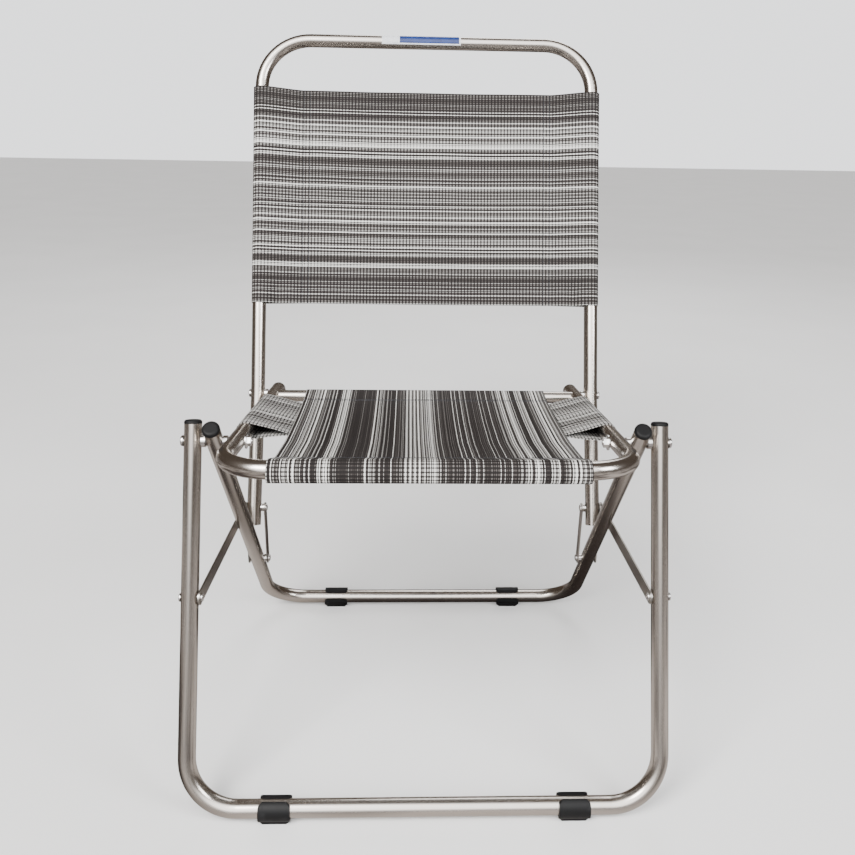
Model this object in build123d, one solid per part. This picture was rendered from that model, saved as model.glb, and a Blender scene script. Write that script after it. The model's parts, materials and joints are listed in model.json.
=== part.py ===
"""Folding camp chair: four bent-tube frames, a pair of slings and a flat-folding linkage.

Millimetres, +Z up, +Y towards the back, origin on the floor at the middle of the chair's
outline. The chair is drawn open, as it stands.
"""

import math
import os

from build123d import *

os.makedirs("parts", exist_ok=True)

# Tubing
TUBE_R = 9.5
TUBE_WALL = 1.2
REAR_BAR_R = 8.0
FOOT_BAR_Z = 14.0

# Side view, as (Y, Z) of tube centre lines and pivots
MAIN_PIVOT = Vector(0, -162.4, 395)
FRONT_FOOT = Vector(0, -264.9, FOOT_BAR_Z)
REAR_FOOT = Vector(0, 145.6, FOOT_BAR_Z)
LINK_PIVOT = Vector(0, 38.6, 216.5)
SEAT_SLOPE = 7.1

# Distances along each frame from the main pivot
BRACE_AT = 169.1
KNEE_AT = 333.7
BACK_PIVOT_AT = 256.6
SEAT_FRONT_AT = 107.0
SEAT_BAR_AT = 240.0
SEAT_END_AT = 286.0
FRONT_LEG_TOP = 19.0
REAR_LEG_TOP = 23.0

# Distances along the back frame from its pivot on the seat
BACK_TOP_AT = 517.0
BACK_END_PAST_LINK = 23.0
SLING_FROM = 127.0
SLING_TO = 443.0

# Half widths between tube centres
FRONT_HALF = 257.3
REAR_HALF = 233.5
BACK_TOP_HALF = 243.0
SEAT_HALF = 209.7

# Bend radii on the tube centre lines
FRONT_BEND = 55.0
REAR_BEND = 55.0
SEAT_BEND = 55.0
BACK_BEND = 70.0
KINK_BEND = 400.0

# Flat linkage bars
LINK_WIDTH = 14.0
LINK_THICK = 1.6
LINK_SPACER = 4.2
BRACE_WIDTH = 16.0
BRACE_THICK = 1.8

# Fasteners
BOLT_R = 3.0
RIVET_R = 2.5
PIN_PLAY = 0.05
MOVING_GAP = 0.3
NUT_ACROSS = 10.0
NUT_THICK = 4.5
RIVET_HEAD_R = 4.5
RIVET_HEAD_HEIGHT = 2.2
SINK_R = 4.0
SINK_DEPTH = 1.2

# Cloth
CLOTH_THICK = 1.0
CLOTH_GAP = 0.3
SEAT_SLING_WIDTH = 308.0
BAND_FROM = 45.0
BAND_TO = 200.0
BAND_DROP = 3.5

# Feet
FOOT_LENGTH = 34.0
FOOT_R = 12.8
FOOT_PAD = 13.6
FOOT_MOUTH = 11.5
FOOT_CORNER = 4.0
FRONT_FOOT_MOUTH_ANGLE = 98.0
REAR_FOOT_MOUTH_ANGLE = 34.0
FRONT_FOOT_X = 162.0
REAR_FOOT_X = 133.0

# How far the sticker's bare edge lies below the front of the top bar, in degrees
LABEL_LEAN = 17.0

REAR_OUTER = REAR_HALF + TUBE_R
REAR_INNER = REAR_HALF - TUBE_R
FRONT_OUTER = FRONT_HALF + TUBE_R
FRONT_INNER = FRONT_HALF - TUBE_R
SEAT_OUTER = SEAT_HALF + TUBE_R
SEAT_INNER = SEAT_HALF - TUBE_R

front_down = (FRONT_FOOT - MAIN_PIVOT).normalized()
rear_down = (REAR_FOOT - MAIN_PIVOT).normalized()
seat_back = Vector(0, math.cos(math.radians(SEAT_SLOPE)), -math.sin(math.radians(SEAT_SLOPE)))

brace_pivot = MAIN_PIVOT + front_down * BRACE_AT
knee_pivot = MAIN_PIVOT + rear_down * KNEE_AT
back_pivot = MAIN_PIVOT + seat_back * BACK_PIVOT_AT
back_up = (back_pivot - LINK_PIVOT).normalized()
back_top = back_pivot + back_up * BACK_TOP_AT
back_end = LINK_PIVOT - back_up * BACK_END_PAST_LINK


def at(point, x):
    """The side-view point moved out to one side."""
    return Vector(x, point.Y, point.Z)


def cylinder_x(point, x_from, x_to, radius):
    """A round bar along X between two X positions."""
    middle = at(point, (x_from + x_to) / 2)
    return Pos(middle) * Rot(0, 90, 0) * Cylinder(radius, abs(x_to - x_from))


def both_sides(shape):
    """The shape and its mirror image on the other side of the chair."""
    return Compound(children=[*shape.solids(), *mirror(shape, about=Plane.YZ).solids()])


def tube_along(path, radius, wall):
    """A round tube swept along a path."""
    start = Plane(origin=path @ 0, z_dir=path % 0)
    outer = sweep(start * Circle(radius), path=path)
    inner = sweep(start * Circle(radius - wall), path=path)
    return outer - inner


def u_frame(free_end, base, half_width, bend):
    """A tube bent into a U, its cross bar at base and both legs ending at free_end."""
    path = FilletPolyline(
        at(free_end, -half_width),
        at(base, -half_width),
        at(base, half_width),
        at(free_end, half_width),
        radius=bend,
    )
    return tube_along(path, TUBE_R, TUBE_WALL)


def flared_frame(free_end, kink, base, half_width, base_half_width, bend):
    """A U whose legs run straight from their ends to the kink and then spread to the bar."""
    path = FilletPolyline(
        at(free_end, -half_width),
        at(kink, -half_width),
        at(base, -base_half_width),
        at(base, base_half_width),
        at(kink, half_width),
        at(free_end, half_width),
        radius=[KINK_BEND, bend, bend, KINK_BEND],
    )
    return tube_along(path, TUBE_R, TUBE_WALL)


def drilled(frame, point, half_width, radius):
    """The frame with a hole across both of its legs."""
    reach = 2 * TUBE_R
    for side in (-1, 1):
        centre = side * half_width
        frame = frame - cylinder_x(point, centre - reach, centre + reach, radius + PIN_PLAY)
    return frame


def washer(point, x_from, x_to, radius, hole):
    """A flat ring round a pivot."""
    return cylinder_x(point, x_from, x_to, radius) - cylinder_x(
        point, x_from - 1, x_to + 1, hole + PIN_PLAY
    )


def button_pin(point, shank_to, head_from, head_radius, head_height, shank_radius):
    """A pin with a rounded head on its outer end."""
    head_to = head_from + head_height
    head = cylinder_x(point, head_from, head_to, head_radius)
    outer_rim = head.edges().filter_by(GeomType.CIRCLE).sort_by(Axis.X)[-1]
    head = fillet(outer_rim, head_height * 0.6)
    return head + cylinder_x(point, shank_to, head_from, shank_radius)


def inner_head(point, face_x):
    """The rounded head on a rivet's inner end, its flat side at face_x."""
    head = cylinder_x(point, face_x - RIVET_HEAD_HEIGHT, face_x, RIVET_HEAD_R)
    inner_rim = head.edges().filter_by(GeomType.CIRCLE).sort_by(Axis.X)[0]
    return fillet(inner_rim, RIVET_HEAD_HEIGHT * 0.6)


def sunk_head(point, face_x, play):
    """The cone of a flush rivet head, or of its seat with play, its flat top at face_x."""
    cone = Cone(RIVET_R + play, SINK_R + play, SINK_DEPTH)
    return Plane(origin=at(point, face_x - SINK_DEPTH / 2), z_dir=(1, 0, 0)) * cone


def hex_nut(point, x_outer, thickness, hole):
    """A hexagonal nut whose face nearest the tube is at x_outer."""
    face = Plane(origin=at(point, x_outer), x_dir=(0, 1, 0), z_dir=(-1, 0, 0))
    body = extrude(face * RegularPolygon(NUT_ACROSS / 2, 6, major_radius=False), thickness)
    return body - cylinder_x(point, x_outer - thickness - 1, x_outer + 1, hole + PIN_PLAY)


def flat_bar(start, end, x_inner, thickness, width, hole_start, hole_end):
    """A flat bar with round ends between two pivots."""
    span = end - start
    middle = (start + end) / 2
    face = Plane(origin=at(middle, x_inner), x_dir=span.normalized(), z_dir=(1, 0, 0))
    bar = extrude(face * SlotCenterToCenter(span.length, width), thickness)
    for pivot, hole in ((start, hole_start), (end, hole_end)):
        bar = bar - cylinder_x(pivot, x_inner - 1, x_inner + thickness + 1, hole)
    return bar


def tube_plug(end, outward, x, dome):
    """A plastic plug pushed into a tube end, with a rounded cap that covers the wall."""
    cap = Pos(0, 0, dome / 2) * Cylinder(TUBE_R + 0.2, dome)
    cap = fillet(cap.edges().filter_by(GeomType.CIRCLE).sort_by(Axis.Z)[-1], dome * 0.7)
    stem = Pos(0, 0, -5) * Cylinder(TUBE_R - TUBE_WALL - 0.1, 10)
    return Plane(origin=at(end, x), z_dir=outward) * (cap + stem)


def clip_foot(base, mouth_angle, x):
    """A snap-on foot: a ring with a slot, on a narrow flat pad, all its end corners cut."""
    face = Plane(origin=at(base, x - FOOT_LENGTH / 2), x_dir=(0, 1, 0), z_dir=(1, 0, 0))
    pad = Pos(0, -FOOT_BAR_Z / 2) * Rectangle(FOOT_PAD, FOOT_BAR_Z)
    lean = 180 - mouth_angle
    mouth = Rot(0, 0, lean) * Pos(FOOT_R, 0) * Rectangle(2 * FOOT_R, FOOT_MOUTH)
    profile = Circle(FOOT_R) + pad - Circle(TUBE_R + PIN_PLAY) - mouth
    foot = extrude(face * profile, FOOT_LENGTH)
    lips_at = math.sqrt(FOOT_R**2 - (FOOT_MOUTH / 2) ** 2)
    lip_cut = cut_corners(at(base, x), math.radians(lean), lips_at)
    pad_cut = cut_corners(at(base, x), math.radians(-90), FOOT_BAR_Z)
    return foot & lip_cut & pad_cut


def cut_corners(centre, angle, reach):
    """The space a foot may fill, its two corners cut at this reach from the bar's centre."""
    towards = Vector(0, math.cos(angle), math.sin(angle))
    across = Plane(origin=centre, x_dir=(1, 0, 0), z_dir=Vector(1, 0, 0).cross(towards))
    deep = 3 * FOOT_R
    outline = Pos(0, (reach - deep) / 2) * Rectangle(FOOT_LENGTH, reach + deep)
    outline = chamfer(outline.vertices().group_by(Axis.Y)[-1], FOOT_CORNER)
    return extrude(across * outline, deep, both=True)


def sleeve(start, end, radius):
    """A cloth tube round a frame tube."""
    path = Line(start, end)
    inner = radius + CLOTH_GAP
    return tube_along(path, inner + CLOTH_THICK, CLOTH_THICK)


def panel(start, end, start_half, end_half, lift):
    """A flat sheet of cloth across the chair between two side-view points."""
    length = (end - start).length
    normal = Vector(1, 0, 0).cross((end - start).normalized())
    outline = Polygon(
        (-start_half, 0), (start_half, 0), (end_half, length), (-end_half, length), align=None
    )
    face = Plane(origin=start + normal * lift, x_dir=(1, 0, 0), z_dir=normal)
    return extrude(face * outline, CLOTH_THICK / 2, both=True)


parts = {}

# Rear legs: the U that everything else hangs on
rear_leg = u_frame(MAIN_PIVOT - rear_down * REAR_LEG_TOP, REAR_FOOT, REAR_HALF, REAR_BEND)
rear_leg = drilled(rear_leg, MAIN_PIVOT, REAR_HALF, BOLT_R)
rear_leg = drilled(rear_leg, knee_pivot, REAR_HALF, RIVET_R)
parts["rear_leg_frame"] = rear_leg

# Front legs
front_leg = u_frame(MAIN_PIVOT - front_down * FRONT_LEG_TOP, FRONT_FOOT, FRONT_HALF, FRONT_BEND)
front_leg = drilled(front_leg, MAIN_PIVOT, FRONT_HALF, BOLT_R)
front_leg = drilled(front_leg, brace_pivot, FRONT_HALF, RIVET_R)
parts["front_leg_frame"] = front_leg

# Seat frame: a U open to the rear, closed by a thinner bar between its arms
seat_front = MAIN_PIVOT - seat_back * SEAT_FRONT_AT
seat_end = MAIN_PIVOT + seat_back * SEAT_END_AT
seat_frame = u_frame(seat_end, seat_front, SEAT_HALF, SEAT_BEND)
seat_frame = drilled(seat_frame, MAIN_PIVOT, SEAT_HALF, BOLT_R)
seat_frame = drilled(seat_frame, back_pivot, SEAT_HALF, BOLT_R)
parts["seat_frame"] = seat_frame

seat_bar_centre = MAIN_PIVOT + seat_back * SEAT_BAR_AT
seat_bar = cylinder_x(seat_bar_centre, -SEAT_HALF, SEAT_HALF, REAR_BAR_R)
for side in (-1, 1):
    arm = Line(at(MAIN_PIVOT, side * SEAT_HALF), at(seat_end, side * SEAT_HALF))
    seat_bar = seat_bar - sweep(Plane(origin=arm @ 0, z_dir=arm % 0) * Circle(TUBE_R), path=arm)
parts["seat_rear_bar"] = seat_bar

# Back frame: an upside-down U with open lower ends, spread a little towards its top
back_frame = flared_frame(back_end, back_pivot, back_top, REAR_HALF, BACK_TOP_HALF, BACK_BEND)
back_frame = drilled(back_frame, back_pivot, REAR_HALF, BOLT_R)
back_frame = drilled(back_frame, LINK_PIVOT, REAR_HALF, RIVET_R)
parts["back_frame"] = back_frame

# Plugs and feet
plug_places = {
    "rear_leg_plug": (MAIN_PIVOT - rear_down * REAR_LEG_TOP, -rear_down, REAR_HALF, 5.0),
    "front_leg_plug": (MAIN_PIVOT - front_down * FRONT_LEG_TOP, -front_down, FRONT_HALF, 4.0),
    "seat_plug": (seat_end, seat_back, SEAT_HALF, 3.0),
}
for name, (end, outward, half_width, dome) in plug_places.items():
    parts[name + "_left"] = tube_plug(end, outward, -half_width, dome)
    parts[name + "_right"] = tube_plug(end, outward, half_width, dome)
for name, base, mouth_angle, x in (
    ("rear_foot", REAR_FOOT, REAR_FOOT_MOUTH_ANGLE, REAR_FOOT_X),
    ("front_foot", FRONT_FOOT, FRONT_FOOT_MOUTH_ANGLE, FRONT_FOOT_X),
):
    parts[name + "_left"] = clip_foot(base, mouth_angle, -x)
    parts[name + "_right"] = clip_foot(base, mouth_angle, x)

# Main pivot: one long bolt a side through front leg, rear leg and seat arm
main_nut_face = SEAT_INNER - MOVING_GAP - 1.5
main_bolt_end = main_nut_face - NUT_THICK - 1
main_bolt = button_pin(
    MAIN_PIVOT, main_bolt_end, FRONT_OUTER + MOVING_GAP, 6.0, 3.0, BOLT_R
)
parts["main_bolts"] = both_sides(main_bolt)
parts["main_outer_spacers"] = both_sides(
    washer(MAIN_PIVOT, REAR_OUTER, FRONT_INNER - MOVING_GAP, 7.0, BOLT_R)
)
parts["main_inner_spacers"] = both_sides(
    washer(MAIN_PIVOT, SEAT_OUTER + MOVING_GAP, REAR_INNER, 6.0, BOLT_R)
)
parts["main_washers"] = both_sides(
    washer(MAIN_PIVOT, main_nut_face, SEAT_INNER - MOVING_GAP, 8.5, BOLT_R)
)
parts["main_nuts"] = both_sides(hex_nut(MAIN_PIVOT, main_nut_face, NUT_THICK, BOLT_R))

# Back pivot: a bolt a side held in the back frame, turning in the seat arm
back_nut_face = SEAT_INNER - MOVING_GAP
back_bolt = button_pin(back_pivot, back_nut_face - NUT_THICK - 1, REAR_OUTER, 5.5, 2.6, BOLT_R)
parts["back_bolts"] = both_sides(back_bolt)
parts["back_spacers"] = both_sides(
    washer(back_pivot, SEAT_OUTER + MOVING_GAP, REAR_INNER, 6.0, BOLT_R)
)
parts["back_nuts"] = both_sides(hex_nut(back_pivot, back_nut_face, NUT_THICK, BOLT_R))

# Short links: one bar each side of the rear leg and back tubes
link_outer_x = REAR_OUTER + MOVING_GAP
link_inner_x = REAR_INNER - LINK_SPACER - MOVING_GAP - LINK_THICK
turning_hole = RIVET_R + PIN_PLAY
for name, x_inner in (("link_outer", link_outer_x), ("link_inner", link_inner_x)):
    link = flat_bar(
        knee_pivot, LINK_PIVOT, x_inner, LINK_THICK, LINK_WIDTH, turning_hole, turning_hole
    )
    if name == "link_outer":
        link = link - sunk_head(knee_pivot, link_outer_x + LINK_THICK, PIN_PLAY)
    parts[name + "_right"] = link
    parts[name + "_left"] = mirror(link, about=Plane.YZ)

# Knee rivets, held in the rear leg, with a round head inside and a sunk one outside
knee_tail = link_inner_x - MOVING_GAP
knee_face = link_outer_x + LINK_THICK
knee_rivet = cylinder_x(knee_pivot, knee_tail, knee_face, RIVET_R)
knee_rivet = knee_rivet + sunk_head(knee_pivot, knee_face, 0)
parts["knee_rivets"] = both_sides(knee_rivet + inner_head(knee_pivot, knee_tail))
parts["knee_spacers"] = both_sides(
    washer(knee_pivot, REAR_INNER - LINK_SPACER, REAR_INNER, 5.0, RIVET_R)
)

# Link rivets at the foot of the back frame, cut flush between the parts that part company
link_tail = cylinder_x(LINK_PIVOT, link_inner_x, link_inner_x + LINK_THICK, RIVET_R)
parts["link_inner_rivets"] = both_sides(link_tail + inner_head(LINK_PIVOT, link_inner_x))
parts["link_outer_rivets"] = both_sides(
    cylinder_x(LINK_PIVOT, link_outer_x, link_outer_x + LINK_THICK, RIVET_R)
)
parts["back_tube_rivets"] = both_sides(
    cylinder_x(LINK_PIVOT, REAR_INNER - LINK_SPACER, REAR_OUTER, RIVET_R)
)
parts["link_spacers"] = both_sides(
    washer(LINK_PIVOT, REAR_INNER - LINK_SPACER, REAR_INNER, 5.0, RIVET_R)
)

# Long braces from the front leg to the foot of the back frame
brace_inner_x = link_outer_x + LINK_THICK + MOVING_GAP
brace_outer_x = brace_inner_x + BRACE_THICK
brace = flat_bar(
    brace_pivot, LINK_PIVOT, brace_inner_x, BRACE_THICK, BRACE_WIDTH, turning_hole, turning_hole
)
parts["brace_right"] = brace
parts["brace_left"] = mirror(brace, about=Plane.YZ)
parts["brace_rear_rivets"] = both_sides(
    button_pin(LINK_PIVOT, brace_inner_x, brace_outer_x, RIVET_HEAD_R, 1.8, RIVET_R)
)
brace_tail = brace_inner_x - MOVING_GAP
brace_rivet = button_pin(brace_pivot, brace_tail, FRONT_OUTER, RIVET_HEAD_R, 2.0, RIVET_R)
parts["brace_front_rivets"] = both_sides(brace_rivet + inner_head(brace_pivot, brace_tail))
parts["brace_front_washers"] = both_sides(
    washer(brace_pivot, brace_outer_x + MOVING_GAP, FRONT_INNER, 6.0, RIVET_R)
)

# Back sling: a sleeve round each back tube and a flat panel between them
sling_low = back_pivot + back_up * SLING_FROM
sling_high = back_pivot + back_up * SLING_TO
cloth_in = TUBE_R + CLOTH_GAP + CLOTH_THICK / 2
spread = (BACK_TOP_HALF - REAR_HALF) / BACK_TOP_AT
low_half = REAR_HALF + spread * SLING_FROM
high_half = REAR_HALF + spread * SLING_TO
back_sling = panel(sling_low, sling_high, low_half - cloth_in, high_half - cloth_in, 0)
for side in (-1, 1):
    low_end = at(sling_low, side * low_half)
    high_end = at(sling_high, side * high_half)
    back_sling = back_sling + sleeve(low_end, high_end, TUBE_R)
parts["back_sling"] = back_sling

# Seat sling: a sleeve round the front bar and one round the rear bar, with the seat between
front_reach = TUBE_R + CLOTH_GAP + CLOTH_THICK / 2
rear_reach = REAR_BAR_R + CLOTH_GAP + CLOTH_THICK / 2
sling_half = SEAT_SLING_WIDTH / 2
panel_front = seat_front + seat_back * front_reach
panel_rear = seat_bar_centre - seat_back * rear_reach
seat_sling = panel(panel_front, panel_rear, sling_half, sling_half, 0)
for centre, radius in ((seat_front, TUBE_R), (seat_bar_centre, REAR_BAR_R)):
    seat_sling = seat_sling + sleeve(at(centre, -sling_half), at(centre, sling_half), radius)
parts["seat_sling"] = seat_sling

# Cross band: a loop round both seat arms that passes under the seat sling
band_front = MAIN_PIVOT + seat_back * BAND_FROM
band_rear = MAIN_PIVOT + seat_back * BAND_TO
seat_band = panel(band_front, band_rear, SEAT_INNER, SEAT_INNER, -BAND_DROP)
for side in (-1, 1):
    x = side * SEAT_HALF
    seat_band = seat_band + sleeve(at(band_front, x), at(band_rear, x), TUBE_R)
parts["seat_band"] = seat_band

# Blank sticker over the top of the top bar and down its front to just below the middle
label = cylinder_x(back_top, -68, 48, TUBE_R + 0.25) - cylinder_x(back_top, -70, 50, TUBE_R)
bare_side = Plane(origin=back_top, x_dir=(1, 0, 0), z_dir=Vector(0, 0, -1).rotate(Axis.X, LABEL_LEAN))
parts["back_label"] = label - bare_side * Pos(0, 0, TUBE_R) * Box(200, 40, 2 * TUBE_R)

for name, shape in parts.items():
    shape.label = name
    export_step(shape, f"parts/{name}.step")
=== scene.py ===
"""The folding camp chair's looks: woven slings, satin steel tube, plugs, feet and studio."""

import json
import math

import bmesh
import bpy
from mathutils import Matrix, Vector


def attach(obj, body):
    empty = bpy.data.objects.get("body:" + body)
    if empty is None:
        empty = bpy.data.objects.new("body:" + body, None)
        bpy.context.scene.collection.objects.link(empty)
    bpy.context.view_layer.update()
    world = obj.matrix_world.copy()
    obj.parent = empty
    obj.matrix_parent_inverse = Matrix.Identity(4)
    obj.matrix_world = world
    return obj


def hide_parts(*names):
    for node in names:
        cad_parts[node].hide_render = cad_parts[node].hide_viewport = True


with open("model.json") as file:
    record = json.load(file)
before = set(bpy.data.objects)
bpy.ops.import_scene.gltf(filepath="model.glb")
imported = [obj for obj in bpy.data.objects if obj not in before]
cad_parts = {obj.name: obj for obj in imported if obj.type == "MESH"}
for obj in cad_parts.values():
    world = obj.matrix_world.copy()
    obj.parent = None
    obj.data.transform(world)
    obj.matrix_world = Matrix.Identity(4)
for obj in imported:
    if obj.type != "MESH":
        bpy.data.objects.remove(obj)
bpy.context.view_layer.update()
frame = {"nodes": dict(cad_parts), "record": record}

# The chair's side view in metres, as the frame has it
MAIN_PIVOT = Vector((0, -0.1624, 0.395))
LINK_PIVOT = Vector((0, 0.0386, 0.2165))
SEAT_SLOPE = math.radians(7.1)
SEAT_BACK = Vector((0, math.cos(SEAT_SLOPE), -math.sin(SEAT_SLOPE)))
SEAT_UP = Vector((0, math.sin(SEAT_SLOPE), math.cos(SEAT_SLOPE)))
BACK_PIVOT = MAIN_PIVOT + SEAT_BACK * 0.2566
BACK_UP = (BACK_PIVOT - LINK_PIVOT).normalized()
BACK_REAR = Vector((0, BACK_UP.z, -BACK_UP.y))
ACROSS = Vector((1, 0, 0))

# Half widths between tube centres, and bars by their distance back from the main pivot
BACK_HALF = 0.2335
BACK_TOP_HALF = 0.243
BACK_TOP = 0.517
TOP_BAR = BACK_PIVOT + BACK_UP * BACK_TOP
SEAT_HALF = 0.2097
SEAT_FRONT = -0.107
SEAT_BAR = 0.240
TUBE_R = 0.0095
REAR_BAR_R = 0.008

# Cloth and thread. LAYER is the step between two layers that are sewn together
CLOTH = 0.0009
LAYER = CLOTH * 1.1
SLACK = 0.0002
SLEEVE_STEP = 0.0025
CLOTH_STEP = 0.003
SPAN_STEP = 0.006
BACK_RIB_PITCH = 0.0046
SEAT_RIB_PITCH = 0.0041
PICK_PITCH = 0.0022
THREAD_R = 0.00042
STITCH_PITCH = 0.0044
STITCH_LENGTH = 0.0038
STITCH_LIFT = CLOTH * 0.6
STITCH_LIFT_BEHIND = CLOTH * 1.7

# Yarns and lines per metre in the noise that makes the stripes, and the colours they run through
YARN_SCALE = 420
WIDE_SCALE = 110
STRIPE_COLOURS = (
    (0.20, (0.022, 0.018, 0.017)),
    (0.42, (0.075, 0.067, 0.063)),
    (0.54, (0.190, 0.180, 0.172)),
    (0.66, (0.52, 0.51, 0.49)),
    (0.82, (0.84, 0.83, 0.80)),
)
RIB_COLOUR = (0.008, 0.006, 0.006)
FIBRE_COLOUR = (0.30, 0.28, 0.27)

# The sticker's blue field, between two places across the chair and above its bare edge
FILM_BLUE_LEFT = -0.042
FILM_BLUE_RIGHT = 0.0455
FILM_EDGE_BELOW_BAR = 0.0008


# ---------------------------------------------------------------- node helpers


class Nodes:
    """A material's node tree with short calls for the nodes used here."""

    def __init__(self, name):
        self.material = bpy.data.materials.new(name)
        self.material.use_nodes = True
        self.tree = self.material.node_tree
        self.shader = self.tree.nodes["Principled BSDF"]

    def add(self, kind, **settings):
        """A new node with these settings."""
        node = self.tree.nodes.new(kind)
        for key, value in settings.items():
            setattr(node, key, value)
        return node

    def plug(self, value, socket):
        """Links an output to a socket, or sets the socket to a number or a colour."""
        if isinstance(value, (int, float)):
            socket.default_value = value
        elif isinstance(value, tuple):
            socket.default_value = (*value, 1)
        else:
            self.tree.links.new(value, socket)

    def calc(self, operation, a, b=0.0):
        """The outcome of one sum on numbers or outputs."""
        node = self.add("ShaderNodeMath", operation=operation)
        self.plug(a, node.inputs[0])
        self.plug(b, node.inputs[1])
        return node.outputs[0]

    def ramp(self, value, stops):
        """A colour ramp. A stop is a place and a colour, or a place and a grey level."""
        node = self.add("ShaderNodeValToRGB")
        elements = node.color_ramp.elements
        for index, (position, colour) in enumerate(stops):
            element = elements[index] if index < 2 else elements.new(position)
            element.position = position
            element.color = (*colour, 1) if isinstance(colour, tuple) else (colour,) * 3 + (1,)
        self.plug(value, node.inputs[0])
        return node.outputs[0]

    def mix(self, factor, a, b, blend="MIX"):
        """Two colours mixed, or blended as named."""
        node = self.add("ShaderNodeMix", data_type="RGBA", blend_type=blend)
        self.plug(factor, node.inputs[0])
        self.plug(a, node.inputs[6])
        self.plug(b, node.inputs[7])
        return node.outputs[2]

    def noise(self, vector, scale, detail):
        """Noise that varies all ways."""
        node = self.add("ShaderNodeTexNoise")
        node.inputs["Scale"].default_value = scale
        node.inputs["Detail"].default_value = detail
        self.plug(vector, node.inputs["Vector"])
        return node.outputs[0]

    def line_noise(self, place, scale, detail):
        """Noise that varies along one line only."""
        node = self.add("ShaderNodeTexNoise", noise_dimensions="1D")
        node.inputs["Scale"].default_value = scale
        node.inputs["Detail"].default_value = detail
        self.plug(place, node.inputs["W"])
        return node.outputs[0]

    def remap(self, value, low, high, start=0.0, stop=1.0):
        """A value that runs from start to stop, made to run from low to high."""
        node = self.add("ShaderNodeMapRange")
        node.inputs["From Min"].default_value = start
        node.inputs["From Max"].default_value = stop
        node.inputs["To Min"].default_value = low
        node.inputs["To Max"].default_value = high
        self.plug(value, node.inputs["Value"])
        return node.outputs[0]

    def wave(self, place, pitch):
        """A sine with this pitch along a place in metres."""
        return self.calc("SINE", self.calc("MULTIPLY", place, 2 * math.pi / pitch))

    def bump(self, height, strength, distance):
        """Raises the surface's shading by a height."""
        node = self.add("ShaderNodeBump")
        node.inputs["Strength"].default_value = strength
        node.inputs["Distance"].default_value = distance
        self.plug(height, node.inputs["Height"])
        self.plug(node.outputs[0], self.shader.inputs["Normal"])

    def place(self):
        """The place on the object, in metres."""
        return self.add("ShaderNodeTexCoord").outputs["Object"]

    def give(self, **values):
        """Sets or links the shader's own inputs by name."""
        for key, value in values.items():
            self.plug(value, self.shader.inputs[key.replace("_", " ")])


def steel(name, colour, roughness, fine_scale):
    """Drawn steel: satin, with fine marks, faint smudges and a warm tint in places."""
    n = Nodes(name)
    place = n.place()
    smudge = n.noise(place, 24, 4)
    fine = n.noise(place, fine_scale, 6)
    warm = tuple(c * w for c, w in zip(colour, (0.93, 0.89, 0.84)))
    blurred = n.calc("ADD", n.remap(smudge, -0.04, 0.05), n.remap(fine, -0.02, 0.03))
    n.give(
        Base_Color=n.mix(smudge, colour, warm),
        Roughness=n.calc("ADD", blurred, roughness),
        Metallic=1.0,
    )
    return n.material


def plastic(name, colour):
    """Moulded black plastic with a fine grain and worn, paler scuffs."""
    n = Nodes(name)
    place = n.place()
    grain = n.noise(place, 1400, 3)
    scuff = n.noise(place, 60, 6)
    worn = n.ramp(scuff, ((0.58, colour), (0.8, tuple(c * 2.4 + 0.008 for c in colour))))
    n.give(Base_Color=worn, Roughness=n.remap(scuff, 0.42, 0.62), Specular_IOR_Level=0.22)
    n.bump(grain, 0.25, 0.0001)
    return n.material


def woven(name, length, bands, rib_pitch, offset):
    """Ribbed woven cloth. U runs across the stripes and V along them, both in metres.

    bands gives the broad light and dark zones across the stripes, as (place, lightness).
    offset picks this piece's own run of thin stripes.
    """
    n = Nodes(name)
    split = n.add("ShaderNodeSeparateXYZ")
    n.plug(n.add("ShaderNodeUVMap", uv_map="cloth").outputs[0], split.inputs[0])
    across = split.outputs[0]
    along = split.outputs[1]
    shifted = n.calc("ADD", across, offset)

    zone = n.ramp(n.calc("DIVIDE", across, length), bands)
    yarn = n.line_noise(shifted, YARN_SCALE, 1.5)
    wide = n.line_noise(shifted, WIDE_SCALE, 1.0)
    pick = n.wave(across, PICK_PITCH)
    level = n.calc("ADD", n.remap(yarn, -0.95, 0.95), n.remap(wide, -0.3, 0.3))
    level = n.calc("ADD", level, n.calc("MULTIPLY", pick, 0.10))
    level = n.calc("ADD", level, zone)
    stripe = n.ramp(level, STRIPE_COLOURS)

    # Dark ribs cross the stripes. They are wide in dark ones and stop at the palest yarns
    rib = n.wave(along, rib_pitch)
    rib_from = n.remap(level, -0.35, 0.95, 0.35, 0.92)
    rib_mask = n.remap(n.calc("SUBTRACT", rib, rib_from), 0.0, 0.92, -0.25, 0.25)
    ribbed = n.mix(rib_mask, stripe, RIB_COLOUR)
    weave = n.mix(1.0, ribbed, n.remap(pick, 0.8, 1.0, -1.0, 1.0), "MULTIPLY")
    fibre = n.noise(n.place(), 2600, 2)
    final = n.mix(n.remap(fibre, 0.0, 0.05), weave, FIBRE_COLOUR)
    n.give(Base_Color=final, Roughness=0.75, Specular_IOR_Level=0.12)
    height = n.calc("ADD", n.calc("MULTIPLY", rib, -0.5), n.calc("MULTIPLY", pick, 0.4))
    n.bump(height, 0.6, 0.0004)
    return n.material


def sewing_thread():
    """Dark twisted sewing thread."""
    n = Nodes("dark_thread")
    twist = n.noise(n.place(), 900, 2)
    n.give(
        Base_Color=n.ramp(twist, ((0.35, (0.008, 0.009, 0.014)), (0.7, (0.03, 0.032, 0.04)))),
        Roughness=0.6,
    )
    return n.material


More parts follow.
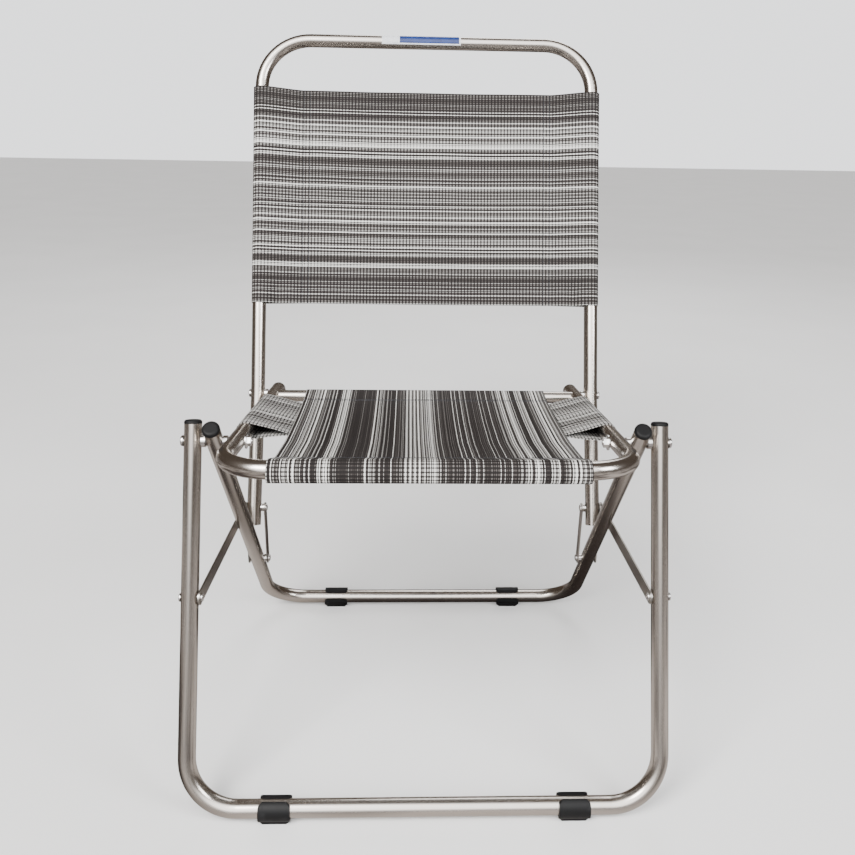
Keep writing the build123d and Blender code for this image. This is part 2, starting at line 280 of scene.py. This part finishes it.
def sticker_film():
    """A blank printed film, white at one end and along its lower edge, blue elsewhere."""
    n = Nodes("sticker_film")
    place = n.place()
    split = n.add("ShaderNodeSeparateXYZ")
    n.plug(place, split.inputs[0])
    ink = n.noise(place, 140, 3)
    blue = n.ramp(ink, ((0.4, (0.008, 0.024, 0.125)), (0.7, (0.012, 0.036, 0.17))))
    white = n.ramp(ink, ((0.4, (0.62, 0.64, 0.68)), (0.7, (0.74, 0.76, 0.79))))
    from_left = n.calc("GREATER_THAN", split.outputs[0], FILM_BLUE_LEFT)
    to_right = n.calc("LESS_THAN", split.outputs[0], FILM_BLUE_RIGHT)
    above_edge = n.calc("GREATER_THAN", split.outputs[2], TOP_BAR.z - FILM_EDGE_BELOW_BAR)
    printed = n.calc("MULTIPLY", n.calc("MULTIPLY", from_left, to_right), above_edge)
    n.give(Base_Color=n.mix(printed, white, blue), Roughness=n.remap(ink, 0.24, 0.38))
    return n.material


# ---------------------------------------------------------------- mesh helpers


def new_mesh(name, points, faces, uvs=None):
    """A mesh object from points and faces, with a cloth UV for each point if given."""
    mesh = bpy.data.meshes.new(name)
    mesh.from_pydata(points, [], faces)
    mesh.update()
    if uvs:
        layer = mesh.uv_layers.new(name="cloth")
        for loop in mesh.loops:
            layer.data[loop.index].uv = uvs[loop.vertex_index]
    mesh.polygons.foreach_set("use_smooth", [True] * len(mesh.polygons))
    obj = bpy.data.objects.new(name, mesh)
    bpy.context.scene.collection.objects.link(obj)
    return obj


def grid(rows, columns):
    """Quads of a grid of points laid out row by row."""
    faces = []
    for row in range(rows - 1):
        for column in range(columns - 1):
            first = row * columns + column
            faces.append((first, first + 1, first + columns + 1, first + columns))
    return faces


def lengths(points):
    """The distance walked along a line of points, up to each of them."""
    walked = [0.0]
    for a, b in zip(points, points[1:]):
        walked.append(walked[-1] + (b - a).length)
    return walked


def resample(points, step):
    """The same line with points about one step apart."""
    walked = lengths(points)
    count = max(2, round(walked[-1] / step) + 1)
    result = []
    segment = 0
    for index in range(count):
        target = walked[-1] * index / (count - 1)
        while segment < len(points) - 2 and walked[segment + 1] < target:
            segment += 1
        part = (target - walked[segment]) / (walked[segment + 1] - walked[segment])
        result.append(points[segment].lerp(points[segment + 1], part))
    return result


def arc(centre, radius, start, stop, steps=30):
    """Points round a circle, from one angle in degrees to another."""
    points = []
    for index in range(steps + 1):
        angle = math.radians(start + (stop - start) * index / steps)
        spoke = Vector((math.cos(angle), math.sin(angle)))
        points.append(Vector(centre) + spoke * radius)
    return points


def mirrored(points):
    """The same line on the other side of the chair, walked the other way."""
    return [Vector((-point.x, point.y)) for point in reversed(points)]


def smooth(value):
    """0 to 1 with gentle ends."""
    value = min(max(value, 0.0), 1.0)
    return value * value * (3 - 2 * value)


def cloth_surface(name, rows, columns, cell):
    """Cloth over a grid. cell gives a point and its UV for an entry of rows and of columns."""
    cells = [cell(row, column) for row in rows for column in columns]
    points = [point for point, uv in cells]
    uvs = [uv for point, uv in cells]
    obj = new_mesh(name, points, grid(len(rows), len(columns)), uvs)
    thicken(obj)
    return obj


def thicken(obj):
    """Gives a cloth surface its thickness, half to each side."""
    solid = obj.modifiers.new("thickness", "SOLIDIFY")
    solid.thickness = CLOTH
    solid.offset = 0
    bpy.context.view_layer.update()
    graph = bpy.context.evaluated_depsgraph_get()
    baked = bpy.data.meshes.new_from_object(obj.evaluated_get(graph), depsgraph=graph)
    obj.modifiers.clear()
    obj.data = baked


def stitch_run(built, line, normal, lift):
    """Adds a run of short thread stitches along a line, lying on the cloth."""
    walked = lengths(line)
    sides = 6
    # Each ring's place along the stitch and its share of the thread's radius
    rings = ((-0.5, 0.3), (-0.3, 0.9), (0.0, 1.1), (0.3, 0.9), (0.5, 0.3))
    place = STITCH_PITCH / 2
    segment = 0
    while place < walked[-1]:
        while walked[segment + 1] < place:
            segment += 1
        part = (place - walked[segment]) / (walked[segment + 1] - walked[segment])
        centre = line[segment].lerp(line[segment + 1], part) + normal * lift
        forward = (line[segment + 1] - line[segment]).normalized()
        side = forward.cross(normal)
        loops = []
        for along, thick in rings:
            loop = []
            for corner in range(sides):
                angle = 2 * math.pi * corner / sides
                reach = side * math.cos(angle) + normal * math.sin(angle)
                corner_place = centre + forward * along * STITCH_LENGTH + reach * THREAD_R * thick
                loop.append(built.verts.new(corner_place))
            loops.append(loop)
        for near, far in zip(loops, loops[1:]):
            for corner in range(sides):
                following = (corner + 1) % sides
                built.faces.new((near[corner], near[following], far[following], far[corner]))
        built.faces.new(list(reversed(loops[0])))
        built.faces.new(loops[-1])
        place += STITCH_PITCH


def stitching(name, runs):
    """One object holding several runs of stitches, each a line, a normal and a lift."""
    built = bmesh.new()
    for line, normal, lift in runs:
        stitch_run(built, line, normal, lift)
    bmesh.ops.recalc_face_normals(built, faces=built.faces)
    mesh = bpy.data.meshes.new(name)
    built.to_mesh(mesh)
    built.free()
    mesh.polygons.foreach_set("use_smooth", [True] * len(mesh.polygons))
    obj = bpy.data.objects.new(name, mesh)
    bpy.context.scene.collection.objects.link(obj)
    return obj


def finished(obj, material, body):
    """Gives a sewn piece its material and its body."""
    obj.data.materials.clear()
    obj.data.materials.append(material)
    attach(obj, body)
    return obj


# ---------------------------------------------------------------- materials

# Broad light and dark zones, from the top of the back and from one side of the seat
BACK_BANDS = (
    (0.00, 0.32), (0.15, 0.34), (0.16, 0.58), (0.28, 0.58), (0.29, 0.41), (0.40, 0.40),
    (0.41, 0.44), (0.52, 0.45), (0.53, 0.51), (0.75, 0.49), (0.76, 0.37), (0.80, 0.39),
    (0.81, 0.59), (0.84, 0.55), (0.85, 0.39), (1.00, 0.37),
)
SEAT_BANDS = (
    (0.000, 0.38), (0.050, 0.40), (0.055, 0.64), (0.095, 0.64), (0.105, 0.22), (0.146, 0.22),
    (0.153, 0.64), (0.190, 0.64), (0.197, 0.20), (0.287, 0.22), (0.296, 0.50), (0.325, 0.48),
    (0.330, 0.26), (0.410, 0.30), (0.417, 0.62), (0.525, 0.62), (0.535, 0.30), (0.790, 0.32),
    (0.800, 0.62), (0.844, 0.62), (0.850, 0.18), (0.865, 0.18), (0.870, 0.62), (0.898, 0.60),
    (0.905, 0.22), (0.920, 0.28), (0.927, 0.56), (1.000, 0.54),
)
BAND_BANDS = ((0.0, 0.62), (0.2, 0.44), (0.45, 0.64), (0.7, 0.48), (1.0, 0.60))

BACK_LENGTH = 0.316
SEAT_WIDTH = 0.327
BAND_WIDTH = 0.155

back_cloth = woven("back_cloth", BACK_LENGTH, BACK_BANDS, BACK_RIB_PITCH, 3.17)
seat_cloth = woven("seat_cloth", SEAT_WIDTH, SEAT_BANDS, SEAT_RIB_PITCH, 7.42)
band_cloth = woven("band_cloth", BAND_WIDTH, BAND_BANDS, SEAT_RIB_PITCH, 11.9)
thread = sewing_thread()

SLOT_MATERIALS = {
    "steel_tube": steel("satin_steel_tube", (0.60, 0.57, 0.54), 0.23, 300),
    "steel_flat": steel("plated_flat_bar", (0.46, 0.44, 0.42), 0.30, 500),
    "fastener": steel("zinc_fastener", (0.82, 0.82, 0.83), 0.22, 500),
    "black_plastic": plastic("black_plastic", (0.005, 0.005, 0.0055)),
    "sticker": sticker_film(),
}
for subpart in frame["record"]["subparts"]:
    node = frame["nodes"][subpart["node"]]
    if subpart["material_slot"] in SLOT_MATERIALS:
        node.data.materials.clear()
        node.data.materials.append(SLOT_MATERIALS[subpart["material_slot"]])


# ---------------------------------------------------------------- back sling

BACK_LOW = 0.127
BACK_HIGH = BACK_LOW + BACK_LENGTH
SLEEVE_INSIDE = 0.058
HEM_INSIDE = 0.071
SEAM_INSIDE = (0.0595, 0.068)
BACK_BELLY = 0.006
BACK_BELLY_ENDS = 0.3
BACK_RIPPLE = 0.0004
BACK_DIP = 0.0024
BACK_DIP_RUN = 0.06
BACK_LOOSE = 0.0012
DENT_DEPTH = 0.0044
DENT_WIDTH = 0.009
DENT_HEIGHT = 0.05
BACK_SLEEVE_R = TUBE_R + CLOTH / 2 + SLACK
BACK_ROWS = 80


def back_section():
    """The sling's line across the chair, as (X, distance to the rear), hem to hem."""
    touch = math.degrees(math.acos(BACK_SLEEVE_R / SLEEVE_INSIDE))
    behind = Vector((0, LAYER))
    seam = Vector((-BACK_HALF + SLEEVE_INSIDE, 0))
    hem = Vector((-BACK_HALF + HEM_INSIDE, 0))
    left = [hem + behind, seam + behind]
    left += arc((-BACK_HALF, 0), BACK_SLEEVE_R, touch, 360 - touch, 34)
    left += [seam, hem]
    left = resample(left, SLEEVE_STEP)
    middle = resample([hem, Vector((-hem.x, 0))], SPAN_STEP)
    return left + middle[1:-1] + mirrored(left)


def arm_dent(across, up):
    """How far the seat arm of the folded chair has pressed the sleeve in at its low end."""
    beside = (abs(across) - SEAT_HALF) / DENT_WIDTH
    return DENT_DEPTH * math.exp(-(beside**2)) * smooth(1 - (up - BACK_LOW) / DENT_HEIGHT)


def back_point(x, rear, up):
    """A point of the back sling, with its belly and the dip of its top edge."""
    share = (up - BACK_LOW) / BACK_LENGTH
    spread = 1 + (BACK_TOP_HALF / BACK_HALF - 1) * up / BACK_TOP
    outside = max(abs(x) - BACK_HALF, 0) / BACK_SLEEVE_R
    loose = math.copysign(BACK_LOOSE * share**2 * outside, x)
    across = x * spread + loose
    dent = arm_dent(across, up) if rear < 0 else 0
    inner = smooth(1 - (x / (BACK_HALF - HEM_INSIDE)) ** 2)
    rounded = BACK_BELLY_ENDS + (1 - BACK_BELLY_ENDS) * math.sin(math.pi * share)
    belly = BACK_BELLY * inner * rounded
    ripple = BACK_RIPPLE * inner * math.sin(41 * x + 19 * up) * math.sin(63 * up + 2)
    dip = BACK_DIP * smooth((BACK_HALF - abs(x)) / BACK_DIP_RUN) * share**4
    return (
        BACK_PIVOT
        + ACROSS * across
        + BACK_REAR * (rear + dent + belly + ripple)
        + BACK_UP * (up - dip)
    )


def back_cell(up, column):
    """A point of the back sling and its UV, from its height and its place on the section."""
    place, walked = column
    return back_point(place.x, place.y, up), (BACK_HIGH - up, walked)


back_line = back_section()
back_walked = lengths(back_line)
heights = [BACK_LOW + BACK_LENGTH * row / (BACK_ROWS - 1) for row in range(BACK_ROWS)]
back_columns = list(zip(back_line, back_walked))
back_sling = cloth_surface("back_sling_cloth", heights, back_columns, back_cell)
finished(back_sling, back_cloth, "back")
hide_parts("back_sling")

back_runs = []
for side in (-1, 1):
    for inside in SEAM_INSIDE:
        line = [back_point(side * (BACK_HALF - inside), 0, up) for up in heights]
        back_runs.append((line, -BACK_REAR, STITCH_LIFT))
        back_runs.append((line, BACK_REAR, STITCH_LIFT_BEHIND))
back_stitching = finished(stitching("back_stitching", back_runs), thread, "back")


# ---------------------------------------------------------------- seat sling

FRONT_LOOSE = 0.0012
FRONT_R = TUBE_R + CLOTH / 2 + SLACK + FRONT_LOOSE
REAR_R = REAR_BAR_R + CLOTH / 2 + SLACK
FRONT_SEAM = SEAT_FRONT + 0.025
REAR_SEAM = SEAT_BAR - 0.034
FRONT_SEAM_RISE = 0.0048
REAR_SEAM_RISE = 0.0022
FRONT_HEM = 0.008
REAR_HEM = 0.006
REAR_HEM_DROP = CLOTH * 1.3
REAR_ROW_GAP = 0.005
SLEEVE_HALF = 0.1582
SEAM_HALF = 0.1550
REAR_HALF = SEAT_WIDTH / 2
SLEEVE_SPREAD_RUN = 0.012
SEAT_SAG = 0.0055
SEAT_SAG_EDGES = 0.35
SEAT_COLUMNS = 90


def seat_section():
    """The seat sling's line from hem to hem, as (distance back, height over the frame)."""
    return [
        Vector((FRONT_SEAM + FRONT_HEM, FRONT_SEAM_RISE - 2 * LAYER)),
        Vector((FRONT_SEAM, FRONT_SEAM_RISE - LAYER)),
        *arc((SEAT_FRONT, -FRONT_LOOSE), FRONT_R, -30, -292),
        Vector((FRONT_SEAM, FRONT_SEAM_RISE)),
        Vector((FRONT_SEAM + 0.026, 0.0032)),
        Vector((0.0, 0.0008)),
        Vector((REAR_SEAM - 0.03, 0.0012)),
        Vector((REAR_SEAM, REAR_SEAM_RISE)),
        *arc((SEAT_BAR, 0), REAR_R, 104, -110),
        Vector((REAR_SEAM, REAR_SEAM_RISE - LAYER)),
        Vector((REAR_SEAM - REAR_HEM, REAR_SEAM_RISE - REAR_HEM_DROP)),
    ]


def seat_point(back, height, share):
    """A point of the seat sling. share runs from -1 at one edge to 1 at the other."""
    run = (back - FRONT_SEAM) / (REAR_SEAM - FRONT_SEAM)
    half = SEAM_HALF + (REAR_HALF - SEAM_HALF) * min(max(run, 0), 1)
    half += (SLEEVE_HALF - SEAM_HALF) * smooth((FRONT_SEAM - back) / SLEEVE_SPREAD_RUN)
    inside = smooth(run * 2.5) * smooth((1 - run) * 2.5)
    sag = SEAT_SAG * inside * (SEAT_SAG_EDGES + (1 - SEAT_SAG_EDGES) * (1 - share**2))
    return MAIN_PIVOT + ACROSS * half * share + SEAT_BACK * back + SEAT_UP * (height - sag)


def seat_cell(row, share):
    """A point of the seat sling and its UV, from its place on the section and its share."""
    place, walked = row
    return seat_point(place.x, place.y, share), ((share + 1) / 2 * SEAT_WIDTH, walked)


seat_line = resample(seat_section(), CLOTH_STEP)
seat_walked = lengths(seat_line)
seat_rows = list(zip(seat_line, seat_walked))
shares = [2 * column / (SEAT_COLUMNS - 1) - 1 for column in range(SEAT_COLUMNS)]
seat_sling = cloth_surface("seat_sling_cloth", seat_rows, shares, seat_cell)
finished(seat_sling, seat_cloth, "seat")
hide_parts("seat_sling")

# One row of stitches at the front seam and two at the rear one, just short of the edges
seam_rows = (
    (FRONT_SEAM, FRONT_SEAM_RISE),
    (REAR_SEAM, REAR_SEAM_RISE),
    (REAR_SEAM - REAR_ROW_GAP, REAR_SEAM_RISE - 0.0002),
)
seam_shares = [-0.99 + 1.98 * step / 80 for step in range(81)]
seat_runs = []
for back, height in seam_rows:
    line = [seat_point(back, height, share) for share in seam_shares]
    seat_runs.append((line, SEAT_UP, STITCH_LIFT))
seat_stitching = finished(stitching("seat_stitching", seat_runs), thread, "seat")


# ---------------------------------------------------------------- cross band

BAND_FROM = 0.045
BAND_EDGE = 0.158
BAND_R = TUBE_R + CLOTH / 2 + SLACK
BAND_LAP = 0.008
BAND_LAYER = CLOTH * 1.2
BAND_LOW = -0.0100
BAND_WAVE = 0.0008
BAND_WAVE_RUN = 0.02
BAND_ROWS = 36


def band_section():
    """The loop of the cross band round both seat arms, as (X, height), its ends lapped."""
    left = [
        Vector((-BAND_LAP, BAND_LOW)),
        Vector((-0.10, -0.0090)),
        Vector((-BAND_EDGE, -0.0050)),
        *arc((-SEAT_HALF, 0), BAND_R, -78, -278),
        Vector((-BAND_EDGE, -0.0034)),
        Vector((-0.10, -0.0074)),
        Vector((0.0, -0.0084)),
    ]
    under = BAND_LOW - BAND_LAYER
    return [
        Vector((BAND_LAP, BAND_LOW)),
        *left,
        *mirrored(left)[1:-1],
        Vector((BAND_LAP * 2, under)),
        Vector((-BAND_LAP, under)),
    ]


def band_point(x, height, from_edge):
    """A point of the cross band, a little wavy between the sling's edge and the seat arm."""
    off_arm = smooth((SEAT_HALF - abs(x)) / BAND_WAVE_RUN)
    free = off_arm * smooth((abs(x) - BAND_EDGE) / BAND_WAVE_RUN)
    wave = BAND_WAVE * free * math.sin(from_edge * 95 + x * 30)
    point = MAIN_PIVOT + ACROSS * x + SEAT_BACK * (BAND_FROM + from_edge)
    return point + SEAT_UP * (height + wave)


def band_cell(from_edge, column):
    """A point of the band and its UV, from the front edge and the place on the section."""
    place, walked = column
    return band_point(place.x, place.y, from_edge), (from_edge, walked)


band_line = resample(band_section(), CLOTH_STEP)
band_walked = lengths(band_line)
band_rows = [BAND_WIDTH * row / (BAND_ROWS - 1) for row in range(BAND_ROWS)]
band_columns = list(zip(band_line, band_walked))
seat_band = cloth_surface("seat_band_cloth", band_rows, band_columns, band_cell)
finished(seat_band, band_cloth, "seat")
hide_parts("seat_band")


# ---------------------------------------------------------------- studio


FLOOR_HALF = 12.0
ROOM_COLOUR = (0.022, 0.017, 0.013, 1)
ROOM_STRENGTH = 4.4
GLOW_TOWARDS = Vector((-0.15, -0.75, 0.65)).normalized()
GLOW_EDGE = (0.72, 0.93)
BACKDROP_COLOUR = (0.97, 0.98, 1.0, 1)
BACKDROP_STRENGTH = 2.0
LAMP_TARGET = (0, 0, 0.4)
CAMERA_PLACE = (-0.0188, -1.0324, 0.7468)
CAMERA_YAW = math.radians(2.08)
CAMERA_PITCH = math.radians(13.08)
CAMERA_ROLL = math.radians(1.05)
CAMERA_LENS = 35.41
CAMERA_SHIFT = (-0.0176, -0.1377)


def studio_floor(half):
    """A plain pale floor, a little uneven in tone. Glossy rays see it in dark, warm blotches
    instead: a painted reflection in the metal.
    """
    signs = ((-1, -1), (1, -1), (1, 1), (-1, 1))
    corners = [Vector((half * x, half * y, 0)) for x, y in signs]
    floor = new_mesh("studio_floor", corners, [(0, 1, 2, 3)])
    n = Nodes("pale_floor")
    tone = n.noise(n.place(), 3, 2)
    pale = n.ramp(tone, ((0.3, 0.90), (0.7, 0.93)))
    # Painted reflection: only glossy rays see these dark, warm blotches, so the steel shows them
    # where it mirrors the floor
    painted_reflection_noise = n.noise(n.place(), 2.2, 1)
    painted_reflection_brown = n.ramp(painted_reflection_noise, ((0.45, (0.014, 0.007, 0.005)), (0.58, (0.40, 0.37, 0.35))))
    mirrored_light = n.add("ShaderNodeLightPath").outputs["Is Glossy Ray"]
    n.give(Base_Color=n.mix(mirrored_light, pale, painted_reflection_brown), Roughness=0.8)
    floor.data.materials.append(n.material)


def studio_world():
    """A wide soft light in front and above in a dim warm room, behind a pale backdrop."""
    world = bpy.data.worlds.new("studio")
    bpy.context.scene.world = world
    world.use_nodes = True
    nodes = world.node_tree.nodes
    links = world.node_tree.links
    direction = nodes.new("ShaderNodeTexCoord").outputs["Generated"]
    towards = nodes.new("ShaderNodeVectorMath")
    towards.operation = "DOT_PRODUCT"
    towards.inputs[1].default_value = GLOW_TOWARDS
    links.new(direction, towards.inputs[0])
    glow = nodes.new("ShaderNodeValToRGB")
    elements = glow.color_ramp.elements
    elements[0].position = GLOW_EDGE[0]
    elements[0].color = ROOM_COLOUR
    elements[1].position = GLOW_EDGE[1]
    elements[1].color = (1.0, 1.0, 1.0, 1)
    links.new(towards.outputs["Value"], glow.inputs[0])
    room = nodes["Background"]
    room.inputs["Strength"].default_value = ROOM_STRENGTH
    links.new(glow.outputs[0], room.inputs["Color"])
    backdrop = nodes.new("ShaderNodeBackground")
    backdrop.inputs["Color"].default_value = BACKDROP_COLOUR
    backdrop.inputs["Strength"].default_value = BACKDROP_STRENGTH
    seen = nodes.new("ShaderNodeLightPath").outputs["Is Camera Ray"]
    choose = nodes.new("ShaderNodeMixShader")
    links.new(seen, choose.inputs[0])
    links.new(room.outputs[0], choose.inputs[1])
    links.new(backdrop.outputs[0], choose.inputs[2])
    links.new(choose.outputs[0], nodes["World Output"].inputs["Surface"])


def soft_light(name, place, size, power, colour, target=LAMP_TARGET):
    """A large square lamp aimed at the chair."""
    data = bpy.data.lights.new(name, "AREA")
    data.shape = "SQUARE"
    data.size = size
    data.energy = power
    data.color = colour
    lamp = bpy.data.objects.new(name, data)
    lamp.location = place
    lamp.rotation_euler = (Vector(target) - Vector(place)).to_track_quat("-Z", "Y").to_euler()
    bpy.context.scene.collection.objects.link(lamp)


def photo_camera():
    """A camera a little above and in front, turned and shifted as the chair was taken."""
    data = bpy.data.cameras.new("camera")
    camera = bpy.data.objects.new("camera", data)
    bpy.context.scene.collection.objects.link(camera)
    bpy.context.scene.camera = camera
    turn = (
        Matrix.Rotation(-CAMERA_YAW, 4, "Z")
        @ Matrix.Rotation(math.pi / 2 - CAMERA_PITCH, 4, "X")
        @ Matrix.Rotation(CAMERA_ROLL, 4, "Z")
    )
    camera.matrix_world = Matrix.Translation(CAMERA_PLACE) @ turn
    data.sensor_width = 36
    data.lens = CAMERA_LENS
    data.shift_x, data.shift_y = CAMERA_SHIFT


studio_floor(FLOOR_HALF)
studio_world()
soft_light("key", (-1.3, -1.9, 2.3), 1.2, 90, (1.0, 0.985, 0.96))
soft_light("fill", (1.8, -1.5, 1.7), 1.0, 45, (0.96, 0.98, 1.0))
soft_light("rim", (0.5, 2.2, 2.3), 1.6, 30, (1.0, 1.0, 1.0), target=(0, 0, 0.5))
photo_camera()
